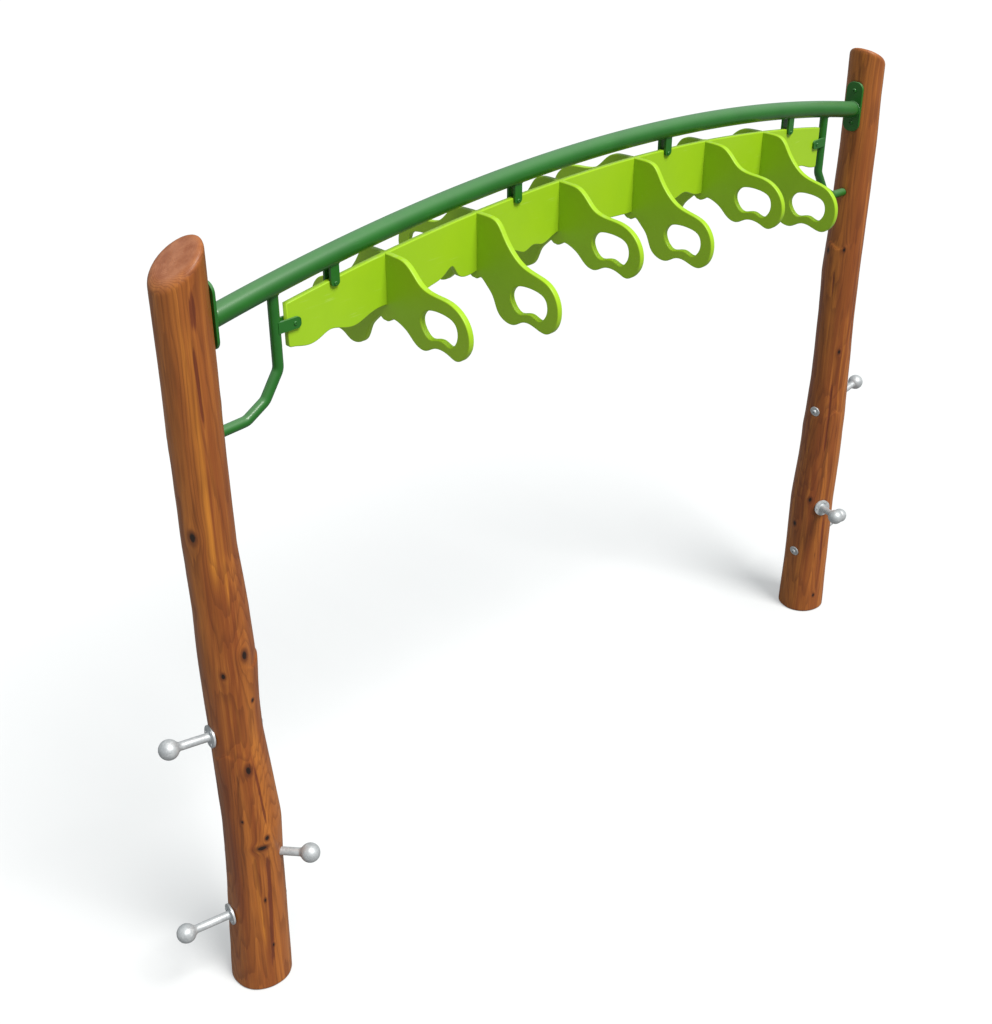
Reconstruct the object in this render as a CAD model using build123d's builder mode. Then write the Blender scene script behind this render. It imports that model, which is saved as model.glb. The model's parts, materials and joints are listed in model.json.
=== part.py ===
from build123d import *
import os
from math import cos, radians, sin, sqrt

# Monkey bars: two round logs carry an arched steel beam, and a wavy board with six pairs of
# hand grips hangs below it. Millimetres. X runs along the row from the left log to the right
# one, Z is up, and the origin is on the ground midway between the logs.

# The row
post_spacing = 3108
post_height = 2510

# Logs: a natural trunk is drawn as (share of its height, girth, sway sideways at sway_angle)
post_foot_diameter = 195
sway_angle = -45
left_log_shape = [
    (0, 1, 0), (0.12, 0.945, 10), (0.19, 0.91, 16), (0.26, 0.925, 21), (0.34, 0.86, 10),
    (0.4, 0.8, 2), (0.44, 0.81, 0), (0.5, 0.85, 0), (0.57, 0.8, -1), (0.65, 0.765, -12),
    (0.8, 0.765, -14), (1.05, 0.765, -14)]
right_log_shape = [
    (0, 1.01, 0), (0.1, 0.955, 0), (0.22, 0.935, -5), (0.3, 0.89, 3), (0.38, 0.85, 6),
    (0.45, 0.785, 6), (0.57, 0.745, 1), (0.64, 0.77, -4), (0.71, 0.745, 0),
    (0.85, 0.71, 3), (0.93, 0.705, -2), (1.05, 0.7, -4)]
left_top_slope = 35
left_top_drop = 8
right_top_slope = 29
post_rim_radius = 15
post_foot_chamfer = 5

# Arched beam: a round steel tube between two end plates
beam_below_top = 235
beam_rise = 146
beam_end_girth = 0.74
beam_diameter = 60
beam_wall = 3
end_plate_width = 70
end_plate_height = 186
end_plate_corner = 30
end_plate_thickness = 9
end_plate_seat = 6
end_plate_edge = 2
plate_above_beam = 11
plate_screw_spacing = 120
plate_screw_diameter = 12
plate_screw_length = 95
plate_screw_head = 17
plate_screw_head_height = 5

# Braces: bent round tubes from the beam back to the logs
brace_diameter = 31
brace_wall = 2.5
brace_to_post = 264
brace_foot_below_beam = 323
brace_seat = 3
brace_bend_radius = 40
brace_bends = [(0, 120), (52, 42), (118, 4)]
brace_stud_diameter = 12
brace_stud_length = 80
brace_plug_length = 20

# Boards: coloured plastic sheet
board_thickness = 19
spine_end_to_post = 300
spine_below_beam = 66
spine_corner = 8
lap_depth = 115
lap_clearance = 0.25

# Grips: the first and the last stand in from the ends of the spine board
grip_count = 6
first_grip_inset = 360
fifth_grip_shift = 18

# Tabs that hold the spine board, each a front and a back strip
hanger_count = 4
hanger_spacing = 713
hanger_shift = -20
hanger_width = 30
hanger_overlap = 18
hanger_bolt_up = 8
tab_thickness = 8
tab_corner = 12
fork_height = 32
fork_overlap = 40
fork_below_spine_top = 58
tab_bolt_diameter = 6
tab_bolt_clearance = 0.25
tab_bolt_head = 12
tab_bolt_head_height = 3
tab_nut_across_flats = 10
tab_nut_height = 5

# Screws that lock each grip board to the spine board from below
grip_screw_diameter = 6
grip_screw_length = 130
grip_screw_head = 12
grip_screw_head_height = 4
grip_screw_seat = 1

# Climbing pegs: (name, height, direction in degrees from +X, rise in degrees, reach from the
# log's surface to the middle of the ball, whether it has a flange or is let into the log)
left_pegs = [("upper", 997, 169, 4, 130, True), ("middle", 522, -58, 7, 98, False),
             ("lower", 295, 168, 0, 150, True)]
right_pegs = [("upper", 1010, -2, 9.5, 130, True), ("middle", 531, -118, 8, 118, True),
              ("lower", 322, -4, 11, 140, True)]
peg_ball_diameter = 62
peg_stem_diameter = 27
peg_stem_in_ball = 12
peg_stem_in_log = 20
peg_seat = 1
peg_flange_diameter = 70
peg_flange_thickness = 6
peg_screw_count = 3
peg_screw_circle = 52
peg_screw_diameter = 5
peg_screw_head = 10
peg_screw_head_height = 2.5
peg_screw_length = 40
peg_bolt_diameter = 12
peg_bolt_in_stem = 30
peg_bolt_head = 20
peg_bolt_head_height = 8
peg_washer_diameter = 44
peg_washer_thickness = 4
peg_washer_seat = 4
bolt_clearance = 0.5
seat_clearance = 1

# Screw heads: rounding and socket depth as shares of the head's height, socket of the shank
head_rounding = 0.7
socket_depth = 0.6
socket_radius = 0.35

# Wing outlines, as (distance out from the spine board, height from the board's top)
wing_depth = -203
high_wing = [
    (50, -1), (84, -6), (118, -29), (152, -59), (205, -73), (263, -79), (310, -102),
    (337, -140), (341, -185), (321, -223), (288, -242), (260, -234), (228, -227), (199, -231),
    (162, -248), (125, -240), (93, -214), (56, -195), (26, -193), (13, -202)]
high_hole = [
    (149, -157), (163, -193), (184, -206), (206, -202), (236, -199), (266, -207), (284, -194),
    (295, -161), (286, -135), (250, -120), (208, -118), (168, -129)]
low_wing = [
    (50, 0), (86, -7), (118, -45), (149, -84), (191, -116), (249, -133), (301, -151),
    (332, -189), (339, -232), (323, -279), (292, -301), (255, -296), (220, -288), (198, -291),
    (162, -309), (128, -308), (98, -289), (74, -242), (42, -208), (20, -196), (11, -202)]
low_hole_drop = 60

# Wavy lower edge of the spine board, as (share of the stretch, depth below the top edge):
# the left end, the five bays between the grips, and the right end
left_end_wave = [(0.05, 131), (0.12, 141), (0.2, 149), (0.3, 146), (0.4, 138), (0.48, 146),
                 (0.56, 158), (0.65, 164), (0.75, 157), (0.86, 149)]
bay_waves = [
    [(0.22, 168), (0.45, 160), (0.61, 145), (0.69, 131), (0.76, 166), (0.87, 181)],
    [(0.15, 166), (0.32, 158), (0.46, 171), (0.55, 183), (0.66, 172), (0.76, 180), (0.91, 165)],
    [(0.2, 150), (0.45, 160), (0.65, 174), (0.8, 178)],
    [(0.2, 164), (0.38, 166), (0.58, 177), (0.71, 163), (0.85, 177)],
    [(0.22, 166), (0.4, 141), (0.56, 150), (0.8, 168)]]
right_end_wave = [(0.17, 150), (0.36, 162), (0.55, 153), (0.73, 141), (0.88, 149)]
spine_end_depths = [126, 149]
grip_wave_depths = [153, 176, 157, 178, 180, 160]

# Sizes that follow from the ones above
post_x = post_spacing / 2
top_height = {"left": post_height - left_top_drop, "right": post_height}
beam_end_height = post_height - beam_below_top
arch_half_span = post_x - post_foot_diameter * beam_end_girth / 2
arch_radius = (arch_half_span**2 + beam_rise**2) / (2 * beam_rise)
arch_centre = beam_end_height + beam_rise - arch_radius
spine_half = post_x - spine_end_to_post
spine_radius = arch_radius - spine_below_beam
half_board = board_thickness / 2
brace_x = post_x - brace_to_post
brace_foot_height = beam_end_height - brace_foot_below_beam
grip_pitch = 2 * (spine_half - first_grip_inset) / (grip_count - 1)
first_grip_x = first_grip_inset - spine_half
grip_x = [first_grip_x + grip_pitch * i for i in range(grip_count)]
grip_x[4] += fifth_grip_shift
hanger_x = [hanger_shift + hanger_spacing * (i - (hanger_count - 1) / 2) for i in range(hanger_count)]
posts = {"left": (-1, left_log_shape, left_top_slope, left_pegs),
         "right": (1, right_log_shape, right_top_slope, right_pegs)}


def log_section(side, height):
    """Centre x, centre y and radius of a log at a height."""
    sign, shape, _, _ = posts[side]
    share = height / post_height
    low, high = next((a, b) for a, b in zip(shape, shape[1:]) if share <= b[0])
    t = (share - low[0]) / (high[0] - low[0])
    girth = low[1] + (high[1] - low[1]) * t
    sway = low[2] + (high[2] - low[2]) * t
    x = sign * post_x + sway * cos(radians(sway_angle))
    return x, sway * sin(radians(sway_angle)), girth * post_foot_diameter / 2


def log_face(side, height, seat):
    """X of a flat cut to a depth of seat into the log's side that faces the other log."""
    sign = posts[side][0]
    x, y, radius = log_section(side, height)
    return x - sign * (sqrt(radius**2 - y**2) - seat)


def arc_height(radius, x):
    """Height at x of a circle round the arch's centre."""
    return arch_centre + sqrt(radius**2 - x**2)


def spine_top(x):
    return arc_height(spine_radius, x)


def peg_plane(side, peg, out):
    """Plane square to a peg, its origin on the peg's line, out from the log's surface."""
    _, height, angle, rise, _, _ = peg
    x, y, radius = log_section(side, height)
    level = cos(radians(rise))
    direction = Vector(cos(radians(angle)) * level, sin(radians(angle)) * level, sin(radians(rise)))
    start = Vector(x, y, height) + direction * (radius / level + out)
    return Plane(origin=start, z_dir=direction, x_dir=direction.cross(Vector(0, 0, 1)))


def far_surface(side, peg):
    """Distance along a peg's line from the log's near surface to its far one."""
    return -2 * log_section(side, peg[1])[2] / cos(radians(peg[3]))


def peg_foot(peg):
    """Distance from the log's surface to the foot of a peg's stem."""
    return peg_flange_thickness - peg_seat if peg[5] else -peg_stem_in_log


plate_back = {side: log_face(side, beam_end_height, end_plate_seat) for side in posts}
plate_front = {side: plate_back[side] - posts[side][0] * end_plate_thickness for side in posts}
plate_height = {side: arc_height(arch_radius, plate_front[side]) + plate_above_beam
                for side in posts}
brace_foot_x = {side: log_face(side, brace_foot_height, brace_seat) for side in posts}


def plate_screw_heights(side):
    return [plate_height[side] + step * plate_screw_spacing / 2 for step in (-1, 1)]


def inward(side, x, height):
    """Plane at x on the row's centre line, facing the middle of the row."""
    return Plane(origin=(x, 0, height), z_dir=(-posts[side][0], 0, 0), x_dir=(0, 1, 0))


def cut_round(plane, radius, amount):
    """Cut a round hole or flat spot into the part being built."""
    with BuildSketch(plane) as disc:
        Circle(radius)
    extrude(disc.sketch, amount=amount, mode=Mode.SUBTRACT)


def log_post(side):
    """One log: a lofted trunk with a slanted top, flats for what is fastened to it, and holes."""
    sign, shape, slope, pegs = posts[side]
    top_x, top_y, top_radius = log_section(side, top_height[side])
    high_point = (top_x - sign * top_radius, top_y, top_height[side])
    with BuildPart() as post:
        for share, _, _ in shape:
            x, y, radius = log_section(side, share * post_height)
            with BuildSketch(Plane.XY.offset(share * post_height)):
                with Locations((x, y)):
                    Circle(radius)
        loft(ruled=True)
        normal = (sign * sin(radians(slope)), 0, cos(radians(slope)))
        split(bisect_by=Plane(origin=high_point, z_dir=normal), keep=Keep.BOTTOM)
        fillet(post.edges().sort_by(Axis.Z)[-1], post_rim_radius)
        chamfer(post.edges().sort_by(Axis.Z)[0], post_foot_chamfer)
        # Flat and screw holes for the end plate
        with BuildSketch(inward(side, plate_back[side], plate_height[side])):
            RectangleRounded(end_plate_width + 2 * seat_clearance,
                             end_plate_height + 2 * seat_clearance, end_plate_corner)
        extrude(amount=end_plate_width, mode=Mode.SUBTRACT)
        for height in plate_screw_heights(side):
            cut_round(inward(side, plate_back[side], height), plate_screw_diameter / 2,
                      end_plate_thickness - plate_screw_length)
        # Flat and stud hole for the brace
        foot_plane = inward(side, brace_foot_x[side], brace_foot_height)
        cut_round(foot_plane, brace_diameter / 2 + seat_clearance, brace_diameter)
        cut_round(foot_plane, brace_stud_diameter / 2, -brace_stud_length)
        for peg in pegs:
            far = far_surface(side, peg)
            if peg[5]:
                cut_round(peg_plane(side, peg, -peg_seat),
                          peg_flange_diameter / 2 + seat_clearance, peg_flange_diameter)
                with BuildSketch(peg_plane(side, peg, -peg_seat)):
                    with PolarLocations(peg_screw_circle / 2, peg_screw_count):
                        Circle(peg_screw_diameter / 2)
                extrude(amount=peg_flange_thickness - peg_screw_length, mode=Mode.SUBTRACT)
            else:
                cut_round(peg_plane(side, peg, peg_foot(peg)), peg_stem_diameter / 2,
                          peg_stem_diameter)
            cut_round(peg_plane(side, peg, peg_foot(peg)), peg_bolt_diameter / 2 + bolt_clearance,
                      far - peg_foot(peg))
            cut_round(peg_plane(side, peg, far + peg_washer_seat),
                      peg_washer_diameter / 2 + seat_clearance, -peg_washer_diameter)
    return post


def arch_bar(radius):
    """A round bar that follows the arch between the two end plates."""
    end_height = arc_height(arch_radius, post_x)
    with BuildPart() as bar:
        with BuildLine(Plane.XZ) as path:
            ThreePointArc((-post_x, end_height), (0, arch_centre + arch_radius), (post_x, end_height))
        with BuildSketch(Plane(origin=path.line @ 0, z_dir=path.line % 0)):
            Circle(radius)
        sweep()
        for side in posts:
            split(bisect_by=inward(side, plate_front[side], 0), keep=Keep.TOP)
    return bar


def end_plate(side):
    with BuildPart() as plate:
        with BuildSketch(inward(side, plate_back[side], plate_height[side])):
            RectangleRounded(end_plate_width, end_plate_height, end_plate_corner)
            with GridLocations(0, plate_screw_spacing, 1, 2):
                Circle(plate_screw_diameter / 2 + bolt_clearance, mode=Mode.SUBTRACT)
        extrude(amount=end_plate_thickness)
        front = plate.faces().sort_by(Axis.X)[-1 if side == "left" else 0]
        fillet(front.outer_wire().edges(), end_plate_edge)
    return plate


def domed_screw(plane, diameter, length, head, head_height):
    """A screw whose head stands on the plane, with a hexagon socket, its shank going down."""
    with BuildPart() as screw:
        with BuildSketch(plane):
            Circle(head / 2)
        extrude(amount=head_height)
        top = screw.faces().sort_by(Axis(plane.origin, plane.z_dir))[-1]
        fillet(top.edges(), head_height * head_rounding)
        with BuildSketch(plane.offset(head_height)):
            RegularPolygon(diameter * socket_radius, 6)
        extrude(amount=-head_height * socket_depth, mode=Mode.SUBTRACT)
        with BuildSketch(plane):
            Circle(diameter / 2)
        extrude(amount=-length)
    return screw.part


def plate_screws(side):
    with BuildPart() as screws:
        for height in plate_screw_heights(side):
            add(domed_screw(inward(side, plate_front[side], height), plate_screw_diameter,
                            plate_screw_length, plate_screw_head, plate_screw_head_height))
    return screws


def brace_line(side):
    """Corners of the brace's centre line, from inside the beam to the flat on the log."""
    sign = posts[side][0]
    leg_x = sign * brace_x
    corners = [(leg_x, arc_height(arch_radius, leg_x))]
    for out, up in brace_bends:
        corners.append((leg_x + sign * out, brace_foot_height + up))
    corners.append((brace_foot_x[side], brace_foot_height))
    return corners


def brace_tube(side, beam_envelope):
    with BuildPart() as tube:
        with BuildLine(Plane.XZ) as path:
            FilletPolyline(*brace_line(side), radius=brace_bend_radius)
        with BuildSketch(Plane(origin=path.line @ 0, z_dir=path.line % 0)):
            Circle(brace_diameter / 2)
            Circle(brace_diameter / 2 - brace_wall, mode=Mode.SUBTRACT)
        sweep()
        split(bisect_by=inward(side, brace_foot_x[side], brace_foot_height), keep=Keep.TOP)
        add(beam_envelope, mode=Mode.SUBTRACT)
    return tube


def brace_stud(side):
    """Plug welded in the brace's foot, with the threaded stud that goes into the log."""
    foot_plane = inward(side, brace_foot_x[side], brace_foot_height)
    corners = brace_line(side)
    foot, before = Vector(*corners[-1]), Vector(*corners[-2])
    run = (before - foot).normalized()
    with BuildPart() as stud:
        with BuildSketch(Plane(origin=(foot.X, 0, foot.Y), z_dir=(run.X, 0, run.Y))):
            Circle(brace_diameter / 2 - brace_wall)
        extrude(amount=brace_plug_length, both=True)
        split(bisect_by=foot_plane, keep=Keep.TOP)
        with BuildSketch(foot_plane):
            Circle(brace_stud_diameter / 2)
        extrude(amount=-brace_stud_length)
    return stud


def tab_plane(face):
    """Plane of the board side of a tab: the front tab is towards -Y, and the back one +Y."""
    if face == "front":
        return Plane.XZ.offset(half_board)
    return Plane.XZ.offset(-half_board - tab_thickness)


def fork_bolt_x(side):
    return posts[side][0] * (spine_half - fork_overlap / 2)


def fork_height_at():
    return spine_top(spine_half) - fork_below_spine_top


def fork_tab(side, face):
    """Flat tab from the brace over the end of the spine board."""
    sign = posts[side][0]
    reach = brace_x - spine_half + fork_overlap
    with BuildPart() as tab:
        with BuildSketch(tab_plane(face)):
            with Locations((sign * (brace_x - reach / 2), fork_height_at())):
                inner_end = Rectangle(reach, fork_height).vertices().sort_by(Axis.X)
            fillet(inner_end[:2] if side == "right" else inner_end[-2:], tab_corner)
            with Locations((fork_bolt_x(side), fork_height_at())):
                Circle(tab_bolt_diameter / 2 + tab_bolt_clearance, mode=Mode.SUBTRACT)
        extrude(amount=tab_thickness)
        with BuildSketch(Plane.XY.offset(fork_height_at() - fork_height)):
            with Locations((sign * brace_x, 0)):
                Circle(brace_diameter / 2)
        extrude(amount=2 * fork_height, mode=Mode.SUBTRACT)
    return tab


def hanger_bolt_height(x):
    return spine_top(x) - hanger_overlap + hanger_bolt_up


def hanger_tab(x, face, beam_envelope):
    """Flat tab from the underside of the beam over the top edge of the spine board."""
    bottom = spine_top(x) - hanger_overlap
    length = arc_height(arch_radius, x) - bottom
    with BuildPart() as tab:
        with BuildSketch(tab_plane(face)):
            with Locations((x, bottom + length / 2)):
                corners = Rectangle(hanger_width, length).vertices().group_by(Axis.Z)[0]
            fillet(corners, tab_corner)
            with Locations((x, hanger_bolt_height(x))):
                Circle(tab_bolt_diameter / 2 + tab_bolt_clearance, mode=Mode.SUBTRACT)
        extrude(amount=tab_thickness)
        add(beam_envelope, mode=Mode.SUBTRACT)
    return tab


def tab_bolts(places):
    """Bolts through both tabs and the board, heads on the front."""
    grip = board_thickness + 2 * tab_thickness
    with BuildPart() as bolts:
        for x, height in places:
            plane = Plane(origin=(x, -grip / 2, height), z_dir=(0, -1, 0))
            add(domed_screw(plane, tab_bolt_diameter, grip + tab_nut_height, tab_bolt_head,
                            tab_bolt_head_height))
    return bolts


def tab_nuts(places):
    with BuildPart() as nuts:
        for x, height in places:
            back = Plane(origin=(x, half_board + tab_thickness, height), z_dir=(0, 1, 0))
            with BuildSketch(back):
                RegularPolygon(tab_nut_across_flats / 2, 6, major_radius=False)
                Circle(tab_bolt_diameter / 2, mode=Mode.SUBTRACT)
            extrude(amount=tab_nut_height)
    return nuts


def spine_wave():
    """Points along the lower edge of the spine board, from its left end to its right end."""
    stretches = [(-spine_half, grip_x[0], left_end_wave)]
    stretches += list(zip(grip_x, grip_x[1:], bay_waves))
    stretches.append((grip_x[-1], spine_half, right_end_wave))
    points = []
    for i, (start, end, wave) in enumerate(stretches):
        if i > 0:
            points.append((start, grip_wave_depths[i - 1]))
        points += [(start + share * (end - start), depth) for share, depth in wave]
    return [(x, spine_top(x) - depth) for x, depth in points]


def spine_board(bolt_places):
    """Long board under the beam: arched on top, wavy below, notched from below for the grips."""
    left_top, right_top = [(x, spine_top(x)) for x in (-spine_half, spine_half)]
    wave = spine_wave()
    left_low = (-spine_half, spine_top(-spine_half) - spine_end_depths[0])
    right_low = (spine_half, spine_top(spine_half) - spine_end_depths[1])
    with BuildPart() as spine:
        with BuildSketch(Plane.XZ):
            with BuildLine():
                ThreePointArc(left_top, (0, spine_top(0)), right_top)
                Spline(left_low, *wave, right_low)
                Line(left_top, left_low)
                Line(right_top, right_low)
            make_face()
        extrude(amount=half_board, both=True)
        corners = spine.edges().filter_by(Axis.Y).sort_by(Axis.Z)
        fillet(corners[:2], spine_corner)
        for x in grip_x:
            with BuildSketch(Plane.XZ):
                with Locations((x, spine_top(x) - lap_depth)):
                    Rectangle(board_thickness + 2 * lap_clearance, -wing_depth,
                              align=(Align.CENTER, Align.MAX))
            extrude(amount=board_thickness, both=True, mode=Mode.SUBTRACT)
            cut_round(grip_screw_plane(x), grip_screw_diameter / 2, -grip_screw_length)
        for x, height in bolt_places:
            with BuildSketch(Plane.XZ):
                with Locations((x, height)):
                    Circle(tab_bolt_diameter / 2 + tab_bolt_clearance)
            extrude(amount=board_thickness, both=True, mode=Mode.SUBTRACT)
    return spine


def grip_screw_plane(x):
    """Plane of the seat of a grip board's screw, on the foot of the board, facing down."""
    return Plane(origin=(x, 0, spine_top(x) + wing_depth + grip_screw_seat), z_dir=(0, 0, -1))


def grip_board(index):
    """Cross board with a hand grip at each end, one high and one low, notched from above."""
    x = grip_x[index]
    plane = Plane(origin=(x, 0, spine_top(x)), z_dir=(1, 0, 0), x_dir=(0, 1, 0))
    near_is_high = index % 2 == 0
    wings = [(-1, high_wing if near_is_high else low_wing), (1, low_wing if near_is_high else high_wing)]
    with BuildPart() as grip:
        with BuildSketch(plane):
            with BuildLine():
                for side, wing in wings:
                    outline = [(side * out, up) for out, up in wing]
                    Spline((0, 0), *outline, (0, wing_depth), tangents=((side, 0), (-side, 0)))
            make_face()
        extrude(amount=half_board, both=True)
        for side, wing in wings:
            drop = 0 if wing is high_wing else low_hole_drop
            with BuildSketch(plane):
                with BuildLine():
                    Spline([(side * out, up - drop) for out, up in high_hole], periodic=True)
                make_face()
            extrude(amount=board_thickness, both=True, mode=Mode.SUBTRACT)
        with BuildSketch(plane):
            Rectangle(board_thickness + 2 * lap_clearance, 2 * lap_depth)
        extrude(amount=board_thickness, both=True, mode=Mode.SUBTRACT)
        cut_round(grip_screw_plane(x), grip_screw_diameter / 2, -grip_screw_length)
        cut_round(grip_screw_plane(x), grip_screw_head / 2 + bolt_clearance, grip_screw_head)
    return grip


def grip_screws():
    """Long screws, one up through the foot of each grip board into the spine board."""
    with BuildPart() as screws:
        for x in grip_x:
            add(domed_screw(grip_screw_plane(x), grip_screw_diameter, grip_screw_length, grip_screw_head,
                            grip_screw_head_height))
    return screws


def peg_ball(side, peg):
    centre = peg_plane(side, peg, peg[4])
    with BuildPart() as ball:
        with Locations(centre):
            Sphere(peg_ball_diameter / 2)
        cut_round(centre.offset(peg_stem_in_ball - peg_ball_diameter / 2), peg_stem_diameter / 2,
                  -peg_ball_diameter)
    return ball


def peg_stem(side, peg):
    """Round bar from the flange or the log into the ball, tapped at its foot for the bolt."""
    foot = peg_plane(side, peg, peg_foot(peg))
    with BuildPart() as stem:
        with BuildSketch(foot):
            Circle(peg_stem_diameter / 2)
        extrude(amount=peg[4] - peg_foot(peg) + peg_stem_in_ball - peg_ball_diameter / 2)
        cut_round(foot, peg_bolt_diameter / 2, peg_bolt_in_stem)
    return stem


def peg_flange(side, peg):
    with BuildPart() as flange:
        with BuildSketch(peg_plane(side, peg, -peg_seat)):
            Circle(peg_flange_diameter / 2)
            Circle(peg_bolt_diameter / 2 + bolt_clearance, mode=Mode.SUBTRACT)
            with PolarLocations(peg_screw_circle / 2, peg_screw_count):
                Circle(peg_screw_diameter / 2 + bolt_clearance / 2, mode=Mode.SUBTRACT)
        extrude(amount=peg_flange_thickness)
    return flange


def peg_screws(side):
    with PolarLocations(peg_screw_circle / 2, peg_screw_count) as circle:
        places = circle.local_locations
    with BuildPart() as screws:
        for peg in posts[side][3]:
            face = peg_plane(side, peg, peg_flange_thickness - peg_seat)
            for place in places if peg[5] else []:
                add(domed_screw(Plane(face.location * place), peg_screw_diameter, peg_screw_length,
                                peg_screw_head, peg_screw_head_height))
    return screws


def peg_washers(side):
    """Dished washers under the bolt heads, on the far side of the log from each peg."""
    with BuildPart() as washers:
        for peg in posts[side][3]:
            with BuildSketch(peg_plane(side, peg, far_surface(side, peg) + peg_washer_seat)):
                Circle(peg_washer_diameter / 2)
                Circle(peg_bolt_diameter / 2 + bolt_clearance, mode=Mode.SUBTRACT)
            extrude(amount=-peg_washer_thickness)
    return washers


def peg_bolts(side):
    """Bolts through the log from the washers into the feet of the pegs."""
    with BuildPart() as bolts:
        for peg in posts[side][3]:
            head_out = far_surface(side, peg) + peg_washer_seat - peg_washer_thickness
            head = peg_plane(side, peg, head_out)
            add(domed_screw(Plane(head.origin, x_dir=head.x_dir, z_dir=-head.z_dir),
                            peg_bolt_diameter, peg_foot(peg) + peg_bolt_in_stem - head_out,
                            peg_bolt_head, peg_bolt_head_height))
    return bolts


def write(name, built):
    built.part.label = name
    export_step(built.part, f"parts/{name}.step")


os.makedirs("parts", exist_ok=True)
beam_envelope = arch_bar(beam_diameter / 2).part
beam_core = arch_bar(beam_diameter / 2 - beam_wall).part

with BuildPart() as beam_tube:
    add(beam_envelope)
    add(beam_core, mode=Mode.SUBTRACT)
write("beam_tube", beam_tube)

for side, (_, _, _, pegs) in posts.items():
    write(f"{side}_post", log_post(side))
    write(f"{side}_end_plate", end_plate(side))
    write(f"{side}_plate_screws", plate_screws(side))
    write(f"{side}_brace_tube", brace_tube(side, beam_envelope))
    write(f"{side}_brace_stud", brace_stud(side))
    for face in ("front", "back"):
        write(f"{side}_fork_{face}", fork_tab(side, face))
    for peg in pegs:
        write(f"{side}_{peg[0]}_peg_ball", peg_ball(side, peg))
        write(f"{side}_{peg[0]}_peg_stem", peg_stem(side, peg))
        if peg[5]:
            write(f"{side}_{peg[0]}_peg_flange", peg_flange(side, peg))
    write(f"{side}_peg_screws", peg_screws(side))
    write(f"{side}_peg_washers", peg_washers(side))
    write(f"{side}_peg_bolts", peg_bolts(side))

hanger_places = [(x, hanger_bolt_height(x)) for x in hanger_x]
fork_places = [(fork_bolt_x(side), fork_height_at()) for side in posts]
for i, x in enumerate(hanger_x, 1):
    for face in ("front", "back"):
        write(f"hanger_{i}_{face}", hanger_tab(x, face, beam_envelope))
write("hanger_bolts", tab_bolts(hanger_places))
write("hanger_nuts", tab_nuts(hanger_places))
write("fork_bolts", tab_bolts(fork_places))
write("fork_nuts", tab_nuts(fork_places))

write("spine_board", spine_board(hanger_places + fork_places))
for index in range(grip_count):
    write(f"grip_board_{index + 1}", grip_board(index))
write("grip_screws", grip_screws())
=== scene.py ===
# Monkey bars: two oiled logs carry an arched green beam, and a lime board with six pairs of
# hand grips hangs below it. Ball-ended pegs stand out of the logs as steps. All in metres.
import json
import math

import bmesh
import bpy
import numpy as np
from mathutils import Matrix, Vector
from mathutils.geometry import tessellate_polygon


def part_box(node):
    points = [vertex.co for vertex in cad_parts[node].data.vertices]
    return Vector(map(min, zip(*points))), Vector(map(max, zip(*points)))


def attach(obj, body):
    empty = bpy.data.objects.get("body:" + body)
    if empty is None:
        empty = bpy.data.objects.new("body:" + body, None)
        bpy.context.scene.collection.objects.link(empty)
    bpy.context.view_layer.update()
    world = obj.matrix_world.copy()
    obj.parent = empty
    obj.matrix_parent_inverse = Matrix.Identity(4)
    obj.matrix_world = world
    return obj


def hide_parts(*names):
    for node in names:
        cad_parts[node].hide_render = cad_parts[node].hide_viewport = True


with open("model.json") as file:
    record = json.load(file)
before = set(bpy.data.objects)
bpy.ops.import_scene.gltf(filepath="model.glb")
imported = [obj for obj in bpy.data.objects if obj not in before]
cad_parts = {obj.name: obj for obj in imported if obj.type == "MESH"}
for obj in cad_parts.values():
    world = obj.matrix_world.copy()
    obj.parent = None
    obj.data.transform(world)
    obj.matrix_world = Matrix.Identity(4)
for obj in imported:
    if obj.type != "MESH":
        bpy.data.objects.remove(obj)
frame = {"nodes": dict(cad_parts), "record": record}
bpy.context.view_layer.update()
print("frame:", len(frame["nodes"]), "nodes")

row = {
    "spacing": 3.108,           # between the logs' middles at the ground
    "logHeight": 2.51,
    "footDiameter": 0.195,
    "beamEndHeight": 2.275,     # middle of the beam where it would reach the logs
    "beamEndGirth": 0.74,       # log's girth there, as a share of the foot's
    "beamRise": 0.146,
    "beamRadius": 0.03,
    "spineBelowBeam": 0.066,    # board's top edge below the beam's middle
    "boardHalf": 0.0095,
}
postX = row["spacing"] / 2
archHalfSpan = postX - row["footDiameter"] * row["beamEndGirth"] / 2
archRadius = (archHalfSpan**2 + row["beamRise"]**2) / (2 * row["beamRise"])
archCentre = row["beamEndHeight"] + row["beamRise"] - archRadius


# height of a circle about the arch's centre: centre + root of (radius squared - x squared)
def arcHeight(x, below=0.0):
    return archCentre + np.sqrt((archRadius - below)**2 - np.square(x))


# height of the long board's top edge, which follows the arch below the beam
def spineTop(x):
    return arcHeight(x, row["spineBelowBeam"])


# each input either linked to a socket or set to a value
def feed(tree, inputs, values):
    for key, value in values.items():
        if isinstance(value, bpy.types.NodeSocket):
            tree.links.new(value, inputs[key])
        else:
            inputs[key].default_value = value


# one node with its settings and inputs
def put(tree, kind, inputs=None, **settings):
    made = tree.nodes.new("ShaderNode" + kind)
    for key, value in settings.items():
        setattr(made, key, value)
    feed(tree, made.inputs, inputs or {})
    return made


# a sum, a difference or a product of two values, in the node tree of the first
def calc(operation, a, b):
    return put(a.id_data, "Math", {0: a, 1: b}, operation=operation).outputs[0]


def plus(a, b):
    return calc("ADD", a, b)


def minus(a, b):
    return calc("SUBTRACT", a, b)


def times(a, b):
    return calc("MULTIPLY", a, b)


# how far a surface faces up: the upward share of its normal
def facingUp(tree):
    return put(tree, "SeparateXYZ", {0: put(tree, "NewGeometry").outputs["Normal"]}).outputs[2]


# a value from low..high stretched over 0..1, smooth at both ends
def between(value, low, high):
    made = put(value.id_data, "MapRange", {"Value": value, "From Min": low, "From Max": high},
               interpolation_type="SMOOTHSTEP")
    return made.outputs["Result"]


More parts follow.
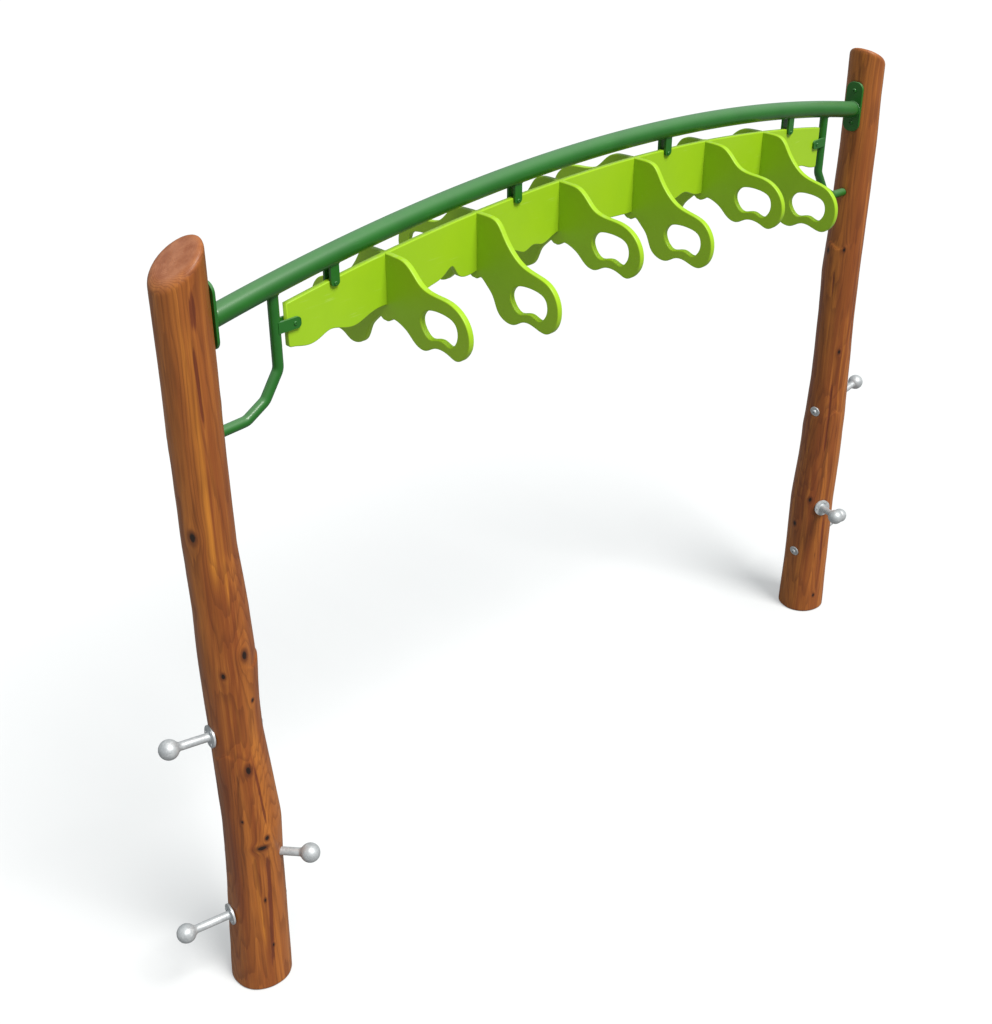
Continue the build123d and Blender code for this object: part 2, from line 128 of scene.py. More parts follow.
# the first colour mixed with or multiplied by the second, as far as the share goes
def blendColour(tree, share, first, second, mode="MIX"):
    made = put(tree, "Mix", {0: share, 6: first, 7: second}, data_type="RGBA", blend_type=mode)
    return made.outputs[2]


# a tint laid over a colour, as strong as share times strength
def layOver(colour, share, strength, tint):
    return blendColour(colour.id_data, times(share, strength), colour, tint)


# cloudy noise from 0 to 1, with so many clouds to the metre
def cloudy(place, scale, detail=3.0, rough=0.5, twist=0.0):
    made = put(place.id_data, "TexNoise", {"Vector": place, "Scale": scale, "Detail": detail,
                                           "Roughness": rough, "Distortion": twist})
    return made.outputs[0]


# clouds drawn out along the trunk: so many to the metre across the grain and along it
def grainClouds(place, across, along, detail, rough, twist):
    size = (across, across, along)
    stretched = put(place.id_data, "Mapping", {"Vector": place, "Scale": size}).outputs[0]
    return cloudy(stretched, 1.0, detail, rough, twist)


# a node group with named inputs and outputs, kept for the materials that use it
def newGroup(name, inputs, outputs):
    tree = bpy.data.node_groups.new(name, "ShaderNodeTree")
    for label, kind, value in inputs:
        socket = tree.interface.new_socket(label, in_out="INPUT", socket_type="NodeSocket" + kind)
        if value is not None:
            socket.default_value = value
    for label, kind in outputs:
        tree.interface.new_socket(label, in_out="OUTPUT", socket_type="NodeSocket" + kind)
    return tree, tree.nodes.new("NodeGroupInput").outputs, tree.nodes.new("NodeGroupOutput").inputs


# broad and fine mottling, and the dust that lies on what faces up
def mottleGroup():
    tree, inside, out = newGroup(
        "mottle",
        [("Place", "Vector", None), ("Broad", "Float", 6.0), ("Fine", "Float", 180.0),
         ("Dust", "Float", 0.3)],
        [("Patches", "Float"), ("Grain", "Float"), ("Dust", "Float")])
    patches = cloudy(inside["Place"], inside["Broad"], 4, 0.55, 0.4)
    tree.links.new(between(patches, 0.32, 0.7), out["Patches"])
    tree.links.new(cloudy(inside["Place"], inside["Fine"], 2, 0.5), out["Grain"])
    lying = between(facingUp(tree), 0.35, 1.0)
    specks = between(cloudy(inside["Place"], 45.0, 5, 0.7), 0.45, 0.75)
    tree.links.new(times(times(lying, specks), inside["Dust"]), out["Dust"])
    return tree


# scuffs and scratches: thin crossing lines where one of three stretched noises is near its top
def scuffGroup():
    tree, inside, out = newGroup(
        "scuffs",
        [("Place", "Vector", None), ("Amount", "Float", 0.4)], [("Scuffs", "Float")])
    lines = []
    for turn, seed in ((0.5, 1.0), (-0.7, 5.0), (1.9, 9.0)):
        turned = put(tree, "Mapping", {
            "Vector": inside["Place"], "Rotation": (turn, turn * 0.6, turn), "Location": (seed, seed, 0),
            "Scale": (9, 160, 160)}).outputs[0]
        lines.append(between(cloudy(turned, 1.0, 1, 0.4), 0.7, 0.78))
    both = calc("MAXIMUM", calc("MAXIMUM", lines[0], lines[1]), lines[2])
    where = between(cloudy(inside["Place"], 11.0, 3, 0.5), 0.45, 0.7)
    tree.links.new(times(times(both, where), inside["Amount"]), out["Scuffs"])
    return tree


groups = {"mottle": mottleGroup(), "scuffs": scuffGroup()}


# one of the shared groups with its inputs
def useGroup(tree, name, inputs):
    made = tree.nodes.new("ShaderNodeGroup")
    made.node_tree = groups[name]
    feed(tree, made.inputs, inputs)
    return made.outputs


# a material, its nodes, its shader and the place on the object
def newMaterial(name):
    material = bpy.data.materials.new(name)
    material.use_nodes = True
    tree = material.node_tree
    shader = tree.nodes["Principled BSDF"]
    place = put(tree, "TexCoord").outputs["Object"]
    return material, tree, shader, place


# the shader gets a colour, a roughness, a bump from a height, and the look's fixed settings
def setShader(tree, shader, look, colour, rough, height):
    bump = put(tree, "Bump", {"Strength": look["bump"], "Distance": look["bumpDepth"], "Height": height})
    feed(tree, shader.inputs, {"Base Color": colour, "Roughness": rough, "Normal": bump.outputs[0],
                               **look["surface"]})


wood = {
    "dark": (0.095, 0.022, 0.007, 1),
    "red": (0.215, 0.053, 0.012, 1),
    "mid": (0.385, 0.120, 0.021, 1),
    "light": (0.52, 0.180, 0.031, 1),
    "orange": (0.64, 0.235, 0.028, 1),
    "torn": (0.120, 0.022, 0.010, 1),
    "knot": (0.010, 0.005, 0.004, 1),
    "knotRing": (0.085, 0.020, 0.007, 1),
    "cut": (0.42, 0.175, 0.092, 1),
    "cutDark": (0.27, 0.092, 0.045, 1),
    "ringWidth": 0.0042, "ringShake": 0.034, "ringRipple": 0.0035,
    "surface": {"Coat Weight": 0.05, "Coat Roughness": 0.28, "Specular IOR Level": 0.32},
    "rough": 0.34, "bump": 0.42, "bumpDepth": 0.0012,
    # clouds along the trunk: across and along the grain, detail, roughness, twist
    "clouds": {"shake": (11, 0.6, 3, 0.5, 0), "ripple": (60, 4, 2, 0.5, 0),
               "tone": (11, 0.8, 4, 0.55, 0.25), "streak": (46, 1.2, 4, 0.6, 0.15),
               "fibre": (420, 9, 2, 0.6, 0), "burn": (24, 1.5, 5, 0.6, 0.3),
               "bright": (36, 0.8, 3, 0.5, 0.2), "fray": (110, 7, 4, 0.6, 0),
               "check": (150, 5, 1, 0.4, 0), "ragged": (90, 40, 3, 0.6, 0)},
}


# Wood is growth rings: the distance from the pith, shaken by long clouds and wrapped at the ring's
# width. Tone, streaks and burns lie over them, then torn grain, checks, knots and the sawn end.
def oiledWood():
    material, tree, shader, _ = newMaterial("oiledWood")
    place = put(tree, "Attribute", attribute_name="grainPlace").outputs["Vector"]
    knot, cut, torn, band = (put(tree, "Attribute", attribute_name=name).outputs["Fac"]
                             for name in ("knotReach", "cutFace", "tornGrain", "paleBand"))
    clouds = {name: grainClouds(place, *size) for name, size in wood["clouds"].items()}
    flat = put(tree, "VectorMath", {0: place, 1: (1, 1, 0)}, operation="MULTIPLY").outputs[0]
    pith = put(tree, "VectorMath", {0: flat}, operation="LENGTH").outputs["Value"]
    shaken = plus(pith, times(clouds["shake"], wood["ringShake"]))
    shaken = plus(shaken, times(clouds["ripple"], wood["ringRipple"]))
    widths = calc("DIVIDE", shaken, wood["ringWidth"])
    ring = put(tree, "Math", {0: widths}, operation="FRACT").outputs[0]
    late = times(between(ring, 0.45, 0.93), between(ring, 1.0, 0.94))
    # torn grain: long seams whose edges are frayed by streaks along the trunk
    frayed = plus(torn, times(minus(clouds["fray"], 0.5), 1.1))
    seam = times(between(frayed, 0.42, 0.72), between(torn, 0.04, 0.25))
    # pale streaks, strong in the bands and faint elsewhere
    bright = times(between(clouds["bright"], 0.40, 0.66),
                   plus(times(band, 0.72), 0.10))
    # fine dark checks along the grain, in patches
    check = times(between(clouds["check"], 0.70, 0.76),
                  between(cloudy(place, 7.0, 2), 0.5, 0.6))
    # knots: the reach is 0 in the middle and 1 at the rim, roughened by small clouds
    ragged = plus(knot, times(minus(clouds["ragged"], 0.5), 0.75))
    halo, core = between(ragged, 2.1, 0.9), between(ragged, 1.0, 0.62)
    colour = blendColour(tree, between(clouds["tone"], 0.36, 0.68), wood["red"], wood["mid"])
    streak, burn = between(clouds["streak"], 0.46, 0.72), between(clouds["burn"], 0.58, 0.74)
    for share, strength, tint in ((streak, 0.62, "light"), (burn, 0.66, "dark"), (bright, 1, "orange"),
                                  (seam, 0.8, "torn"), (late, 0.34, "dark")):
        colour = layOver(colour, share, strength, wood[tint])
    shade = plus(times(clouds["fibre"], 0.6), 0.7)
    grey = put(tree, "CombineColor", {0: shade, 1: shade, 2: shade}).outputs[0]
    colour = blendColour(tree, 1.0, colour, grey, "MULTIPLY")
    for share, strength, tint in ((check, 0.75, "knotRing"), (halo, 0.72, "knotRing"), (core, 0.94, "knot")):
        colour = layOver(colour, share, strength, wood[tint])
    # sawn end: paler and pinker, with the rings
    endTone = between(cloudy(place, 22.0, 4, 0.6), 0.35, 0.7)
    endColour = blendColour(tree, endTone, wood["cut"], wood["cutDark"])
    colour = layOver(colour, cut, 0.85, layOver(endColour, late, 0.33, wood["red"]))
    rough = plus(times(clouds["fibre"], 0.22), plus(times(late, 0.06), wood["rough"]))
    height = times(clouds["fibre"], 0.5)
    for share, depth in ((late, 0.35), (check, 1.3), (core, 0.9), (seam, 1.1)):
        height = minus(height, times(share, depth))
    setShader(tree, shader, wood, colour, rough, height)
    return material


lime = {
    "face": (0.333, 0.560, 0.012, 1), "patch": (0.312, 0.535, 0.011, 1),
    "scuff": (0.52, 0.70, 0.16, 1), "scuffShare": 0.35, "scuffDepth": -0.6,
    "dust": (0.45, 0.50, 0.30, 1), "dustShare": 0.22,
    "broad": 5.0, "fine": 900.0,
    "rough": 0.36, "patchRough": 0.10, "scuffRough": 0.3, "bump": 0.16, "bumpDepth": 0.0006,
    "surface": {"Specular IOR Level": 0.4},
}
green = {
    "face": (0.014, 0.132, 0.012, 1), "patch": (0.011, 0.113, 0.010, 1),
    "scuff": (0.050, 0.215, 0.050, 1), "scuffShare": 0.4,
    "dust": (0.16, 0.24, 0.13, 1), "dustShare": 0.10,
    # painted highlight: a pale green laid on the coat's up-facing faces, standing in for the sky's reflection
    "paintedHighlight": (0.30, 0.47, 0.30, 1), "paintedHighlightShare": 0.20,
    "broad": 7.0, "fine": 520.0,
    "rough": 0.33, "patchRough": 0.08, "scuffRough": 0.25, "bump": 0.22, "bumpDepth": 0.0005,
    "surface": {"Coat Weight": 0.22, "Coat Roughness": 0.12, "Specular IOR Level": 0.34},
}


# Sheet and powder coat: two close colours in broad patches, then dust and scuffs. The coat also gets
# a painted highlight, an even pale colour on what faces up in place of the sky's reflection, and the
# sheet's scuffs have a depth. Roughness is a base plus a share of the patches and of the scuffs.
def coloured(name, look):
    material, tree, shader, place = newMaterial(name)
    spots = useGroup(tree, "mottle", {"Place": place, "Broad": look["broad"], "Fine": look["fine"],
                                      "Dust": look["dustShare"]})
    scuffs = useGroup(tree, "scuffs", {"Place": place, "Amount": look["scuffShare"]})["Scuffs"]
    colour = blendColour(tree, spots["Patches"], look["face"], look["patch"])
    # painted highlight: what faces up is lightened towards a pale green, as if the sky were reflected in the
    # coat
    if "paintedHighlight" in look:
        paintedHighlightMask = between(facingUp(tree), 0.05, 1.0)
        colour = layOver(colour, paintedHighlightMask, look["paintedHighlightShare"], look["paintedHighlight"])
    colour = blendColour(tree, spots["Dust"], colour, look["dust"])
    colour = blendColour(tree, scuffs, colour, look["scuff"])
    rough = plus(times(spots["Patches"], look["patchRough"]),
                 plus(times(scuffs, look["scuffRough"]), look["rough"]))
    height = spots["Grain"]
    if "scuffDepth" in look:
        height = plus(height, times(scuffs, look["scuffDepth"]))
    setShader(tree, shader, look, colour, rough, height)
    return material


zinc = {
    "light": (0.58, 0.595, 0.605, 1),
    "grey": (0.38, 0.395, 0.41, 1),
    "white": (0.70, 0.71, 0.715, 1),
    "spangle": 210.0,           # crystals per metre
    "surface": {"Metallic": 0.45}, "rough": 0.42, "bump": 0.3, "bumpDepth": 0.0006,
}


# Zinc spangle: each Voronoi cell has its own grey, half of it from clouds, with pale blooms over it
def dippedZinc():
    material, tree, shader, place = newMaterial("dippedZinc")
    cells = put(tree, "TexVoronoi", {"Vector": place, "Scale": zinc["spangle"]}).outputs["Color"]
    shade = put(tree, "SeparateColor", {0: cells}).outputs[0]
    spots = useGroup(tree, "mottle", {"Place": place, "Broad": 30.0, "Fine": 700.0, "Dust": 0.2})
    share = plus(times(shade, 0.5), times(spots["Patches"], 0.5))
    bloom = between(cloudy(place, 60.0, 5, 0.65), 0.52, 0.74)
    colour = layOver(blendColour(tree, share, zinc["light"], zinc["grey"]), bloom, 0.6, zinc["white"])
    rough = plus(times(share, 0.16), plus(times(bloom, 0.22), zinc["rough"]))
    height = plus(times(spots["Grain"], 0.5), spots["Patches"])
    setShader(tree, shader, zinc, colour, rough, height)
    return material


finishes = {"log_wood": oiledWood(), "lime_board": coloured("limeSheet", lime),
            "green_steel": coloured("powderCoat", green), "galvanised_steel": dippedZinc()}
for part in frame["record"]["subparts"]:
    frame["nodes"][part["node"]].data.materials.clear()
    frame["nodes"][part["node"]].data.materials.append(finishes[part["material_slot"]])
print("finishes:", len(finishes))


# evenly spaced turns round a circle
def turns(count):
    return np.arange(count) / count * 2 * math.pi


# rows of vectors at length one
def unit(vectors):
    return vectors / np.linalg.norm(vectors, axis=1, keepdims=True)


# four-sided faces between neighbouring rows and columns of a grid whose last column joins its first
def wrapFaces(rows, columns, first=0):
    r, c = np.arange(rows - 1)[:, None], np.arange(columns)[None, :]
    n = (c + 1) % columns
    corners = [r * columns + c, (r + 1) * columns + c, (r + 1) * columns + n, r * columns + n]
    return (np.stack(np.broadcast_arrays(*corners), -1).reshape(-1, 4) + first).tolist()


# a finished mesh at the origin: doubles merged, faces turned outwards, smooth, riding on the root
def makePiece(name, points, faces, slotName, replaced=(), attributes=None):
    mesh = bpy.data.meshes.new(name)
    mesh.from_pydata(np.asarray(points).reshape(-1, 3).tolist(), [], faces)
    for label, (kind, field, data) in (attributes or {}).items():
        values = np.ravel(data).astype(np.float32)
        mesh.attributes.new(label, kind, "POINT").data.foreach_set(field, values)
    work = bmesh.new()
    work.from_mesh(mesh)
    bmesh.ops.remove_doubles(work, verts=work.verts, dist=1e-6)
    bmesh.ops.dissolve_degenerate(work, edges=work.edges, dist=1e-7)
    bmesh.ops.recalc_face_normals(work, faces=work.faces)
    work.to_mesh(mesh)
    work.free()
    mesh.polygons.foreach_set("use_smooth", np.ones(len(mesh.polygons), bool))
    mesh.materials.append(finishes[slotName])
    piece = bpy.data.objects.new(name, mesh)
    bpy.context.scene.collection.objects.link(piece)
    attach(piece, "root")
    if replaced:
        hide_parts(*replaced)


# soft random heights over (turn, height): a lattice of random numbers, cosine-blended, closed around
def softLumps(turn, height, around, cell, seed):
    lattice = np.random.default_rng(seed).uniform(-1, 1, (int(4 / cell) + 4, around))
    u = (turn / (2 * math.pi) % 1.0) * around
    v = (height + 0.5) / cell
    iu, iv = np.floor(u).astype(int), np.floor(v).astype(int)
    fu, fv = (1 - np.cos((u - iu) * math.pi)) / 2, (1 - np.cos((v - iv) * math.pi)) / 2
    a, b = iu % around, (iu + 1) % around
    low = lattice[iv, a] * (1 - fu) + lattice[iv, b] * fu
    high = lattice[iv + 1, a] * (1 - fu) + lattice[iv + 1, b] * fu
    return low * (1 - fv) + high * fv


# 0 to 1 with level ends: three t squared minus two t cubed
def smoothStep(t):
    t = np.clip(t, 0, 1)
    return t * t * (3 - 2 * t)


logs = {
    "left": {
        "sign": -1, "topSlope": 35, "topDrop": 0.008, "seed": 3,
        # share of the height, girth, sway sideways in metres
        "shape": [(0, 1, 0), (0.12, 0.945, 0.010), (0.19, 0.91, 0.016), (0.26, 0.925, 0.021),
                  (0.34, 0.86, 0.010), (0.4, 0.8, 0.002), (0.44, 0.81, 0), (0.5, 0.85, 0),
                  (0.57, 0.8, -0.001), (0.65, 0.765, -0.012), (0.8, 0.765, -0.014), (1.05, 0.765, -0.014)],
        # direction in degrees, height, half width, half length, swelling
        "knots": [(-155, 1.693, 0.011, 0.017, 0.003), (-87, 1.301, 0.009, 0.016, 0.006),
                  (-133, 1.244, 0.006, 0.010, 0.001), (-75, 1.131, 0.005, 0.007, 0.001),
                  (-110, 0.899, 0.009, 0.016, 0.003), (-108, 0.600, 0.017, 0.009, 0.003),
                  (-97, 0.633, 0.007, 0.009, 0.002), (-109, 0.383, 0.004, 0.009, 0.001),
                  (-98, 0.182, 0.004, 0.008, 0.001), (-140, 0.71, 0.004, 0.006, 0.001),
                  (60, 1.62, 0.010, 0.016, 0.004), (20, 0.95, 0.012, 0.015, 0.004),
                  (105, 0.55, 0.008, 0.014, 0.003), (-20, 2.05, 0.006, 0.009, 0.002),
                  (150, 1.95, 0.008, 0.012, 0.0005)],
        # direction, height of the step, spread in degrees, step
        "ledges": [(-52, 1.262, 34, 0.0045), (-165, 0.95, 26, 0.003), (40, 0.62, 30, 0.003)],
        # direction in degrees, lower and upper height, half width in metres
        "torn": [(-101, 0.03, 0.62, 0.009), (-94, 0.62, 0.98, 0.005), (-106, 1.95, 2.30, 0.006),
                 (-98, 2.22, 2.45, 0.012), (95, 0.4, 1.1, 0.008), (10, 1.3, 1.8, 0.008)],
        "bands": [(-119, 1.50, 2.34, 0.012), (-100, 1.40, 1.95, 0.008), (-118, 0.15, 1.25, 0.012),
                  (40, 0.3, 1.6, 0.012), (150, 0.9, 2.1, 0.011)],
        "pegs": {"upper": (0.997, 169, 4, 0.130, True), "middle": (0.522, -58, 7, 0.098, False),
                 "lower": (0.295, 168, 0, 0.150, True)},
    },
    "right": {
        "sign": 1, "topSlope": 29, "topDrop": 0, "seed": 8,
        "shape": [(0, 1.01, 0), (0.1, 0.955, 0), (0.22, 0.935, -0.005), (0.3, 0.89, 0.003),
                  (0.38, 0.85, 0.006), (0.45, 0.785, 0.006), (0.57, 0.745, 0.001), (0.64, 0.77, -0.004),
                  (0.71, 0.745, 0), (0.85, 0.71, 0.003), (0.93, 0.705, -0.002), (1.05, 0.7, -0.004)],
        "knots": [(-154, 0.581, 0.008, 0.013, 0.002), (169, 0.444, 0.008, 0.012, 0.003),
                  (-114, 0.085, 0.006, 0.009, 0.001), (158, 1.707, 0.007, 0.012, 0.003),
                  (-149, 1.722, 0.005, 0.009, 0.001), (-128, 1.28, 0.006, 0.010, 0.002),
                  (70, 1.35, 0.010, 0.016, 0.004), (10, 0.75, 0.010, 0.014, 0.004),
                  (110, 0.9, 0.008, 0.014, 0.003), (-30, 1.9, 0.007, 0.012, 0.002)],
        "ledges": [(178, 1.742, 40, 0.0045), (-120, 1.0, 26, 0.0025), (60, 1.2, 30, 0.003)],
        "torn": [(-140, 0.75, 1.20, 0.006), (-105, 0.20, 0.55, 0.006), (-165, 1.45, 1.70, 0.005),
                 (-85, 1.2, 1.6, 0.006), (80, 0.5, 1.2, 0.008)],
        "bands": [(-112, 0.9, 1.5, 0.007), (30, 0.3, 1.6, 0.010)],
        "pegs": {"upper": (1.010, -2, 9.5, 0.130, True), "middle": (0.531, -118, 8, 0.118, True),
                 "lower": (0.322, -4, 11, 0.140, True)},
    },
}
logMesh = {
    "around": 168, "rowHeight": 0.0056, "upperRows": 43, "leaning": 0.16,
    "rim": 0.024, "rimRows": 9, "capRings": 13, "footEdge": 0.005, "swayAngle": -45,
    # out of round: share of the radius, waves around, twist per metre, start
    "waves": [(0.010, 2, 1.1, 1.3), (0.007, 3, -0.8, 2), (0.004, 5, 2.1, 0)],
    # soft lumps: height in metres, number around, length
    "lumps": [(0.0010, 8, 0.19), (0.0005, 20, 0.07), (0.00016, 56, 0.05)],
    "farFromKnots": 4.0, "tornDepth": 0.0014, "seamEnds": 0.12,
}
# flats cut for what is fastened to the logs
fastened = {
    "plateHalf": (0.036, 0.094), "plateCorner": 0.031, "plateAbove": 0.011,
    "plateSeat": 0.006, "plateThick": 0.009,
    "braceFoot": 1.952, "braceHole": 0.0165, "braceSeat": 0.003,
    "flangeHole": 0.0362, "pegSeat": 0.001, "flangeThick": 0.006, "sunk": 0.020,
    "washerHole": 0.023, "washerSeat": 0.004, "edge": 0.0035,
}


# middle and radius of a log at a height: straight runs between the table's rows, with their
# corners softened over 60 mm by a running average
def logCore(log, z):
    shares, girths, sways = np.array(log["shape"]).T
    heights = np.arange(-0.3, 3.2, 0.005)
    kernel = np.hanning(13) / np.hanning(13).sum()
    girth = np.convolve(np.interp(heights / row["logHeight"], shares, girths), kernel, "same")
    sway = np.convolve(np.interp(heights / row["logHeight"], shares, sways), kernel, "same")
    angle = math.radians(logMesh["swayAngle"])
    s = np.interp(z, heights, sway)
    x = log["sign"] * postX + s * math.cos(angle)
    return x, s * math.sin(angle), np.interp(z, heights, girth) * row["footDiameter"] / 2


# x of a flat cut that deep into the side of a log that faces the other log
def facingFlat(log, z, seat):
    x, y, radius = (float(v) for v in logCore(log, z))
    return x - log["sign"] * (math.sqrt(radius**2 - y**2) - seat)


# where a peg's line leaves the log's middle, its direction, and the way to the log's surface
def pegLine(log, peg):
    height, angle, rise = peg[0], math.radians(peg[1]), math.radians(peg[2])
    x, y, radius = (float(v) for v in logCore(log, height))
    level = math.cos(rise)
    direction = np.array([math.cos(angle) * level, math.sin(angle) * level, math.sin(rise)])
    return np.array([x, y, height]), direction, radius / level


# points past a plane go back to it, inside a round or an upright rounded outline with a soft edge
def pressFlat(points, origin, normal, hole, half=None):
    level = np.array([-normal[1], normal[0], 0.0])
    level /= np.linalg.norm(level)
    offset = points - origin
    out, across, along = offset @ normal, offset @ level, offset @ np.cross(normal, level)
    if half is None:
        past = np.hypot(across, along) - hole
    else:
        a, b = np.abs(across) - half[0] + hole, np.abs(along) - half[1] + hole
        past = np.hypot(np.maximum(a, 0), np.maximum(b, 0)) + np.minimum(np.maximum(a, b), 0) - hole
    share = np.clip(0.5 - past / fastened["edge"], 0, 1) * (out < 0.03)
    return points - (np.maximum(out, 0) * share)[..., None] * normal


# signed turn from a direction: the difference wrapped to half a turn either way
def turnFrom(t, direction):
    return (t - direction + math.pi) % (2 * math.pi) - math.pi


# A log is a surface of (turn, way along its skin). The side's radius is the core's, out of round by
# a few waves, plus soft lumps, knots as bell-shaped swellings and steps that swell slowly and drop
# at once. The skin goes over a rounded rim on to the slanted cut, and ends in its middle.
def makeLog(side):
    log = logs[side]
    sign, around = log["sign"], logMesh["around"]
    turn = turns(around)
    top = row["logHeight"] - log["topDrop"]
    topX, _, topRadius = (float(v) for v in logCore(log, top))
    highX = topX - sign * topRadius
    lean = sign * math.tan(math.radians(log["topSlope"]))

    # height of the slanted cut: it falls from the log's inner edge by the slope's tangent
    def cutHeight(x):
        return top - lean * (x - highX)

    # heights of the rows, level below and leaning over to the cut near the top
    edge = cutHeight(topX + topRadius * np.cos(turn))
    level = edge.min() - logMesh["leaning"]
    lower = np.arange(logMesh["footEdge"], level, logMesh["rowHeight"])
    way = np.linspace(0, 1, logMesh["upperRows"] + 1)[1:, None]
    upper = way * (edge - logMesh["rim"] - level)[None, :] + level
    z = np.vstack([np.repeat(lower[:, None], around, 1), upper])
    t = np.broadcast_to(turn, z.shape)
    x, y, radius = logCore(log, z)
    radius = radius * sum((size * np.cos(lobes * t + twist * z + start)
                           for size, lobes, twist, start in logMesh["waves"]), 1)
    for number, (size, lumpsAround, length) in enumerate(logMesh["lumps"]):
        radius = radius + size * softLumps(t, z, lumpsAround, length, log["seed"] + number)
    knotReach = np.full(z.shape, logMesh["farFromKnots"])
    shift = np.zeros(z.shape)
    for angle, height, width, length, swell in log["knots"]:
        arc = turnFrom(t, math.radians(angle)) * radius
        rise = z - height
        reach = np.sqrt((arc / width)**2 + (rise / length)**2)
        knotReach = np.minimum(knotReach, reach)
        radius = radius + swell * np.exp(-(arc / (2.6 * width))**2 - (rise / (2.8 * length))**2)
        radius = radius - 0.0012 * np.exp(-reach**4)
        shift = shift - 0.75 * arc * np.exp(-(arc / (2.2 * width))**2 - (rise / (2.6 * length))**2)
    for angle, height, spread, step in log["ledges"]:
        arc = turnFrom(t, math.radians(angle)) / math.radians(spread)
        wavy = height + 0.012 * np.cos(3.1 * arc + angle)
        swell = smoothStep((z - wavy + 0.20) / 0.20) * smoothStep((wavy - z) / 0.012)
        radius = radius + step * np.exp(-arc**2) * swell
    torn, band = np.zeros(z.shape), np.zeros(z.shape)
    for seams, field in ((log["torn"], torn), (log["bands"], band)):
        for angle, low, high, width in seams:
            drift = math.radians(angle) + 0.06 * np.sin(4.0 * z + angle)
            arc = turnFrom(t, drift) * radius
            run = smoothStep((z - low) / logMesh["seamEnds"]) * smoothStep((high - z) / logMesh["seamEnds"])
            np.maximum(field, np.exp(-(arc / width)**2) * run, out=field)
    radius = radius - logMesh["tornDepth"] * torn
    points = np.stack([x + radius * np.cos(t), y + radius * np.sin(t), z], -1)
    # grain place: the point from the pith, with the lines led round the knots
    sideways = np.stack([-np.sin(t), np.cos(t), np.zeros_like(t)], -1)
    grain = points - np.array([sign * postX, 0, 0]) + sideways * shift[..., None]
    # flats for the end plate, the brace and the pegs
    inward = np.array([-sign, 0.0, 0.0])
    plateX = facingFlat(log, row["beamEndHeight"], fastened["plateSeat"])
    plateZ = float(arcHeight(plateX - sign * fastened["plateThick"])) + fastened["plateAbove"]
    points = pressFlat(points, np.array([plateX, 0, plateZ]), inward, fastened["plateCorner"],
                       fastened["plateHalf"])
    footX = facingFlat(log, fastened["braceFoot"], fastened["braceSeat"])
    points = pressFlat(points, np.array([footX, 0, fastened["braceFoot"]]), inward, fastened["braceHole"])
    for peg in log["pegs"].values():
        start, direction, surface = pegLine(log, peg)
        if peg[4]:
            points = pressFlat(points, start + direction * (surface - fastened["pegSeat"]), direction,
                               fastened["flangeHole"])
        points = pressFlat(points, start - direction * (surface - fastened["washerSeat"]), -direction,
                           fastened["washerHole"])
    # rim and cut: a curve bent round the corner of side and cut, then rings that shrink to the middle
    rim, rows = logMesh["rim"], logMesh["rimRows"]
    last = points[-1]
    corner = np.stack([last[:, 0], last[:, 1], cutHeight(last[:, 0])], -1)
    middle = np.array([last[:, 0].mean(), last[:, 1].mean()])
    toMiddle = middle - corner[:, :2]
    reach = rim / np.linalg.norm(toMiddle, axis=1, keepdims=True)
    onCut = corner[:, :2] + toMiddle * reach
    onCut = np.column_stack([onCut, cutHeight(onCut[:, 0])])
    s = np.linspace(0, 1, rows)[1:, None, None]
    rimPoints = (1 - s)**2 * last + 2 * s * (1 - s) * corner + s**2 * onCut
    centre = np.array([*middle, cutHeight(middle[0])])
    k = (np.arange(logMesh["capRings"], -1, -1) / (logMesh["capRings"] + 1))[:, None, None]
    cap = centre + (onCut - centre) * k
    cap[..., 2] += 0.0009 * (1 - k[..., 0]**2) + 0.0003 * softLumps(
        np.broadcast_to(turn, cap.shape[:2]), np.broadcast_to(k[..., 0], cap.shape[:2]), 14, 0.12, 21)
    cap[-1] = cap[-1].mean(0)
    # foot: a small chamfer and a flat underside
    foot = points[0]
    footMiddle = np.array([foot[:, 0].mean(), foot[:, 1].mean(), 0.0])
    chamfer = footMiddle + (foot - footMiddle) * np.array([0.95, 0.95, 0.0])
    f = np.array([0.0, 0.35, 0.7])[:, None, None]
    under = footMiddle + (chamfer - footMiddle) * f
    under[..., 2] = 0
    skin = np.concatenate([under, chamfer[None], points, rimPoints, cap])
    pithShift = np.array([sign * postX, 0, 0])
    grain = np.concatenate([under - pithShift, (chamfer - pithShift)[None], grain,
                            rimPoints - pithShift, cap - pithShift])
    below, above = len(under) + 1, len(rimPoints) + len(cap)
    beyond = ((below, above), (0, 0))
    knotReach = np.pad(knotReach, beyond, constant_values=logMesh["farFromKnots"])
    torn, band = np.pad(torn, beyond), np.pad(band, beyond)
    ramp = np.linspace(0, 1, rows)[1:, None] ** 1.5
    cutFace = np.concatenate([np.ones((below, around)), np.zeros(z.shape),
                              np.repeat(ramp, around, 1), np.ones((len(cap), around))])
    makePiece(side + "Log", skin, wrapFaces(len(skin), around), "log_wood", [side + "_post"],
              {"grainPlace": ("FLOAT_VECTOR", "vector", grain),
               "knotReach": ("FLOAT", "value", knotReach), "cutFace": ("FLOAT", "value", cutFace),
               "tornGrain": ("FLOAT", "value", torn), "paleBand": ("FLOAT", "value", band)})
    print(side, "log:", len(skin), "rows")


for side in logs:
    makeLog(side)


boards = {
    "rounding": 0.003, "profileSteps": 4,
    "faceInset": 1.4,           # where the flat face starts, in roundings
    "lapDepth": 0.115, "lapHalf": 0.00975, "lapRounding": 0.0004,
    "spineEnd": 1.254, "spineCorner": 0.008,
    "gripInset": 0.360, "fifthShift": 0.018, "gripCount": 6,
    "nub": -0.203, "lowHoleDrop": 0.060,
}
